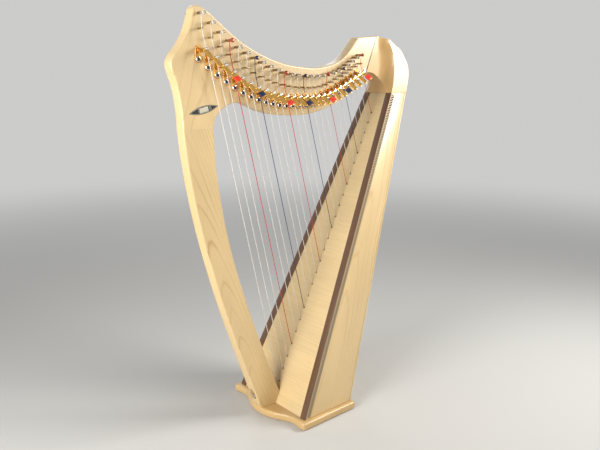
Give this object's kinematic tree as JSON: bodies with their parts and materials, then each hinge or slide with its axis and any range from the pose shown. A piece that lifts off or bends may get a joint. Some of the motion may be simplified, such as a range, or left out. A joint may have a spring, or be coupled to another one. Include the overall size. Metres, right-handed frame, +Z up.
{
  "type": "lever harp",
  "caption": "Small wooden lever harp: bowed pillar, arched neck with tuning pins and sharping levers, slanting soundbox, nylon strings, on a flat base.",
  "frame": {"origin": "on the base's underside, below the foot of the soundboard and in the middle of the width", "axes": "+Z up, +X from the pillar towards the soundbox and the player, -Y the side of the levers and strings"},
  "size_m": [0.5872, 0.2376, 0.8075],
  "materials": {
    "maple": "satin lacquered pale maple",
    "spruce": "satin lacquered pale soundboard",
    "walnut": "satin dark wood",
    "lever_brass": "polished, with a bright cam",
    "pin_steel": "plain steel pin with its string's winding",
    "strings": "clear nylon, red and dark blue on the C and F strings"
  },
  "bodies": {
    "frame": {"base": "maple", "soundbox": "maple", "soundboard": "spruce", "edge_strip_left": "walnut", "edge_strip_right": "walnut", "back_panel": "maple", "shoulder": "maple", "pillar": "maple", "neck": "maple", "strings": "strings"},
    "lever_01": {"lever_01": "lever_brass"},
    "lever_02": {"lever_02": "lever_brass"},
    "lever_03": {"lever_03": "lever_brass"},
    "lever_04": {"lever_04": "lever_brass"},
    "lever_05": {"lever_05": "lever_brass"},
    "lever_06": {"lever_06": "lever_brass"},
    "lever_07": {"lever_07": "lever_brass"},
    "lever_08": {"lever_08": "lever_brass"},
    "lever_09": {"lever_09": "lever_brass"},
    "lever_10": {"lever_10": "lever_brass"},
    "lever_11": {"lever_11": "lever_brass"},
    "lever_12": {"lever_12": "lever_brass"},
    "lever_13": {"lever_13": "lever_brass"},
    "lever_14": {"lever_14": "lever_brass"},
    "lever_15": {"lever_15": "lever_brass"},
    "lever_16": {"lever_16": "lever_brass"},
    "lever_17": {"lever_17": "lever_brass"},
    "lever_18": {"lever_18": "lever_brass"},
    "lever_19": {"lever_19": "lever_brass"},
    "lever_20": {"lever_20": "lever_brass"},
    "lever_21": {"lever_21": "lever_brass"},
    "lever_22": {"lever_22": "lever_brass"},
    "lever_23": {"lever_23": "lever_brass"},
    "lever_24": {"lever_24": "lever_brass"},
    "lever_25": {"lever_25": "lever_brass"},
    "tuning_pin_01": {"tuning_pin_01": "pin_steel"},
    "tuning_pin_02": {"tuning_pin_02": "pin_steel"},
    "tuning_pin_03": {"tuning_pin_03": "pin_steel"},
    "tuning_pin_04": {"tuning_pin_04": "pin_steel"},
    "tuning_pin_05": {"tuning_pin_05": "pin_steel"},
    "tuning_pin_06": {"tuning_pin_06": "pin_steel"},
    "tuning_pin_07": {"tuning_pin_07": "pin_steel"},
    "tuning_pin_08": {"tuning_pin_08": "pin_steel"},
    "tuning_pin_09": {"tuning_pin_09": "pin_steel"},
    "tuning_pin_10": {"tuning_pin_10": "pin_steel"},
    "tuning_pin_11": {"tuning_pin_11": "pin_steel"},
    "tuning_pin_12": {"tuning_pin_12": "pin_steel"},
    "tuning_pin_13": {"tuning_pin_13": "pin_steel"},
    "tuning_pin_14": {"tuning_pin_14": "pin_steel"},
    "tuning_pin_15": {"tuning_pin_15": "pin_steel"},
    "tuning_pin_16": {"tuning_pin_16": "pin_steel"},
    "tuning_pin_17": {"tuning_pin_17": "pin_steel"},
    "tuning_pin_18": {"tuning_pin_18": "pin_steel"},
    "tuning_pin_19": {"tuning_pin_19": "pin_steel"},
    "tuning_pin_20": {"tuning_pin_20": "pin_steel"},
    "tuning_pin_21": {"tuning_pin_21": "pin_steel"},
    "tuning_pin_22": {"tuning_pin_22": "pin_steel"},
    "tuning_pin_23": {"tuning_pin_23": "pin_steel"},
    "tuning_pin_24": {"tuning_pin_24": "pin_steel"},
    "tuning_pin_25": {"tuning_pin_25": "pin_steel"}
  },
  "joints": [
    {"name": "lever_01_flip", "type": "hinge", "parent": "frame", "child": "lever_01", "pos_m": [-0.15197, -0.0293, 0.73557], "axis": [-0.9689, 0, -0.2474], "range_deg": [0, 95]},
    {"name": "lever_02_flip", "type": "hinge", "parent": "frame", "child": "lever_02", "pos_m": [-0.13293, -0.0293, 0.72233], "axis": [-0.9678, 0, -0.2516], "range_deg": [0, 95]},
    {"name": "lever_03_flip", "type": "hinge", "parent": "frame", "child": "lever_03", "pos_m": [-0.11415, -0.0293, 0.70932], "axis": [-0.9666, 0, -0.2564], "range_deg": [0, 95]},
    {"name": "lever_04_flip", "type": "hinge", "parent": "frame", "child": "lever_04", "pos_m": [-0.09565, -0.0293, 0.69752], "axis": [-0.9652, 0, -0.2616], "range_deg": [0, 95]},
    {"name": "lever_05_flip", "type": "hinge", "parent": "frame", "child": "lever_05", "pos_m": [-0.07742, -0.0293, 0.68705], "axis": [-0.9637, 0, -0.2671], "range_deg": [0, 95]},
    {"name": "lever_06_flip", "type": "hinge", "parent": "frame", "child": "lever_06", "pos_m": [-0.05946, -0.0293, 0.67789], "axis": [-0.962, 0, -0.2729], "range_deg": [0, 95]},
    {"name": "lever_07_flip", "type": "hinge", "parent": "frame", "child": "lever_07", "pos_m": [-0.04179, -0.0293, 0.67056], "axis": [-0.9603, 0, -0.2788], "range_deg": [0, 95]},
    {"name": "lever_08_flip", "type": "hinge", "parent": "frame", "child": "lever_08", "pos_m": [-0.02439, -0.0293, 0.66482], "axis": [-0.9586, 0, -0.2849], "range_deg": [0, 95]},
    {"name": "lever_09_flip", "type": "hinge", "parent": "frame", "child": "lever_09", "pos_m": [-0.00727, -0.0293, 0.66016], "axis": [-0.9566, 0, -0.2914], "range_deg": [0, 95]},
    {"name": "lever_10_flip", "type": "hinge", "parent": "frame", "child": "lever_10", "pos_m": [0.00958, -0.0293, 0.65645], "axis": [-0.9544, 0, -0.2984], "range_deg": [0, 95]},
    {"name": "lever_11_flip", "type": "hinge", "parent": "frame", "child": "lever_11", "pos_m": [0.02615, -0.0293, 0.65377], "axis": [-0.952, 0, -0.306], "range_deg": [0, 95]},
    {"name": "lever_12_flip", "type": "hinge", "parent": "frame", "child": "lever_12", "pos_m": [0.04244, -0.0293, 0.65236], "axis": [-0.9494, 0, -0.3141], "range_deg": [0, 95]},
    {"name": "lever_13_flip", "type": "hinge", "parent": "frame", "child": "lever_13", "pos_m": [0.05845, -0.0293, 0.65201], "axis": [-0.9465, 0, -0.3227], "range_deg": [0, 95]},
    {"name": "lever_14_flip", "type": "hinge", "parent": "frame", "child": "lever_14", "pos_m": [0.07419, -0.0293, 0.6524], "axis": [-0.9432, 0, -0.3323], "range_deg": [0, 95]},
    {"name": "lever_15_flip", "type": "hinge", "parent": "frame", "child": "lever_15", "pos_m": [0.09009, -0.0293, 0.6521], "axis": [-0.9392, 0, -0.3433], "range_deg": [0, 95]},
    {"name": "lever_16_flip", "type": "hinge", "parent": "frame", "child": "lever_16", "pos_m": [0.10575, -0.0293, 0.65247], "axis": [-0.9346, 0, -0.3557], "range_deg": [0, 95]},
    {"name": "lever_17_flip", "type": "hinge", "parent": "frame", "child": "lever_17", "pos_m": [0.12116, -0.0293, 0.65423], "axis": [-0.9295, 0, -0.3688], "range_deg": [0, 95]},
    {"name": "lever_18_flip", "type": "hinge", "parent": "frame", "child": "lever_18", "pos_m": [0.13629, -0.0293, 0.6576], "axis": [-0.9241, 0, -0.3821], "range_deg": [0, 95]},
    {"name": "lever_19_flip", "type": "hinge", "parent": "frame", "child": "lever_19", "pos_m": [0.15116, -0.0293, 0.66251], "axis": [-0.9184, 0, -0.3956], "range_deg": [0, 95]},
    {"name": "lever_20_flip", "type": "hinge", "parent": "frame", "child": "lever_20", "pos_m": [0.16578, -0.0293, 0.66858], "axis": [-0.9123, 0, -0.4096], "range_deg": [0, 95]},
    {"name": "lever_21_flip", "type": "hinge", "parent": "frame", "child": "lever_21", "pos_m": [0.18016, -0.0293, 0.6749], "axis": [-0.9047, 0, -0.4261], "range_deg": [0, 95]},
    {"name": "lever_22_flip", "type": "hinge", "parent": "frame", "child": "lever_22", "pos_m": [0.19433, -0.0293, 0.68144], "axis": [-0.8953, 0, -0.4455], "range_deg": [0, 95]},
    {"name": "lever_23_flip", "type": "hinge", "parent": "frame", "child": "lever_23", "pos_m": [0.2083, -0.0293, 0.68815], "axis": [-0.8834, 0, -0.4687], "range_deg": [0, 95]},
    {"name": "lever_24_flip", "type": "hinge", "parent": "frame", "child": "lever_24", "pos_m": [0.22209, -0.0293, 0.69485], "axis": [-0.8676, 0, -0.4972], "range_deg": [0, 95]},
    {"name": "lever_25_flip", "type": "hinge", "parent": "frame", "child": "lever_25", "pos_m": [0.23574, -0.0293, 0.70148], "axis": [-0.8462, 0, -0.5328], "range_deg": [0, 95]},
    {"name": "tuning_pin_01_turn", "type": "hinge", "parent": "frame", "child": "tuning_pin_01", "pos_m": [-0.1579, 0, 0.794], "axis": [0, 1, 0], "continuous": true},
    {"name": "tuning_pin_02_turn", "type": "hinge", "parent": "frame", "child": "tuning_pin_02", "pos_m": [-0.1387, 0, 0.77901], "axis": [0, 1, 0], "continuous": true},
    {"name": "tuning_pin_03_turn", "type": "hinge", "parent": "frame", "child": "tuning_pin_03", "pos_m": [-0.11977, 0, 0.76426], "axis": [0, 1, 0], "continuous": true},
    {"name": "tuning_pin_04_turn", "type": "hinge", "parent": "frame", "child": "tuning_pin_04", "pos_m": [-0.10111, 0, 0.75114], "axis": [0, 1, 0], "continuous": true},
    {"name": "tuning_pin_05_turn", "type": "hinge", "parent": "frame", "child": "tuning_pin_05", "pos_m": [-0.08272, 0, 0.74031], "axis": [0, 1, 0], "continuous": true},
    {"name": "tuning_pin_06_turn", "type": "hinge", "parent": "frame", "child": "tuning_pin_06", "pos_m": [-0.0646, 0, 0.73103], "axis": [0, 1, 0], "continuous": true},
    {"name": "tuning_pin_07_turn", "type": "hinge", "parent": "frame", "child": "tuning_pin_07", "pos_m": [-0.04674, 0, 0.72278], "axis": [0, 1, 0], "continuous": true},
    {"name": "tuning_pin_08_turn", "type": "hinge", "parent": "frame", "child": "tuning_pin_08", "pos_m": [-0.02916, 0, 0.71496], "axis": [0, 1, 0], "continuous": true},
    {"name": "tuning_pin_09_turn", "type": "hinge", "parent": "frame", "child": "tuning_pin_09", "pos_m": [-0.01185, 0, 0.70772], "axis": [0, 1, 0], "continuous": true},
    {"name": "tuning_pin_10_turn", "type": "hinge", "parent": "frame", "child": "tuning_pin_10", "pos_m": [0.0052, 0, 0.70164], "axis": [0, 1, 0], "continuous": true},
    {"name": "tuning_pin_11_turn", "type": "hinge", "parent": "frame", "child": "tuning_pin_11", "pos_m": [0.02197, 0, 0.69719], "axis": [0, 1, 0], "continuous": true},
    {"name": "tuning_pin_12_turn", "type": "hinge", "parent": "frame", "child": "tuning_pin_12", "pos_m": [0.03847, 0, 0.6944], "axis": [0, 1, 0], "continuous": true},
    {"name": "tuning_pin_13_turn", "type": "hinge", "parent": "frame", "child": "tuning_pin_13", "pos_m": [0.05471, 0, 0.69268], "axis": [0, 1, 0], "continuous": true},
    {"name": "tuning_pin_14_turn", "type": "hinge", "parent": "frame", "child": "tuning_pin_14", "pos_m": [0.07067, 0, 0.69161], "axis": [0, 1, 0], "continuous": true},
    {"name": "tuning_pin_15_turn", "type": "hinge", "parent": "frame", "child": "tuning_pin_15", "pos_m": [0.08637, 0, 0.69093], "axis": [0, 1, 0], "continuous": true},
    {"name": "tuning_pin_16_turn", "type": "hinge", "parent": "frame", "child": "tuning_pin_16", "pos_m": [0.1018, 0, 0.69086], "axis": [0, 1, 0], "continuous": true},
    {"name": "tuning_pin_17_turn", "type": "hinge", "parent": "frame", "child": "tuning_pin_17", "pos_m": [0.11695, 0, 0.69198], "axis": [0, 1, 0], "continuous": true},
    {"name": "tuning_pin_18_turn", "type": "hinge", "parent": "frame", "child": "tuning_pin_18", "pos_m": [0.13184, 0, 0.69409], "axis": [0, 1, 0], "continuous": true},
    {"name": "tuning_pin_19_turn", "type": "hinge", "parent": "frame", "child": "tuning_pin_19", "pos_m": [0.14646, 0, 0.69676], "axis": [0, 1, 0], "continuous": true},
    {"name": "tuning_pin_20_turn", "type": "hinge", "parent": "frame", "child": "tuning_pin_20", "pos_m": [0.1608, 0, 0.70066], "axis": [0, 1, 0], "continuous": true},
    {"name": "tuning_pin_21_turn", "type": "hinge", "parent": "frame", "child": "tuning_pin_21", "pos_m": [0.17488, 0, 0.7062], "axis": [0, 1, 0], "continuous": true},
    {"name": "tuning_pin_22_turn", "type": "hinge", "parent": "frame", "child": "tuning_pin_22", "pos_m": [0.18869, 0, 0.7132], "axis": [0, 1, 0], "continuous": true},
    {"name": "tuning_pin_23_turn", "type": "hinge", "parent": "frame", "child": "tuning_pin_23", "pos_m": [0.20223, 0, 0.72089], "axis": [0, 1, 0], "continuous": true},
    {"name": "tuning_pin_24_turn", "type": "hinge", "parent": "frame", "child": "tuning_pin_24", "pos_m": [0.2155, 0, 0.72859], "axis": [0, 1, 0], "continuous": true},
    {"name": "tuning_pin_25_turn", "type": "hinge", "parent": "frame", "child": "tuning_pin_25", "pos_m": [0.2285, 0, 0.734], "axis": [0, 1, 0], "continuous": true}
  ]
}
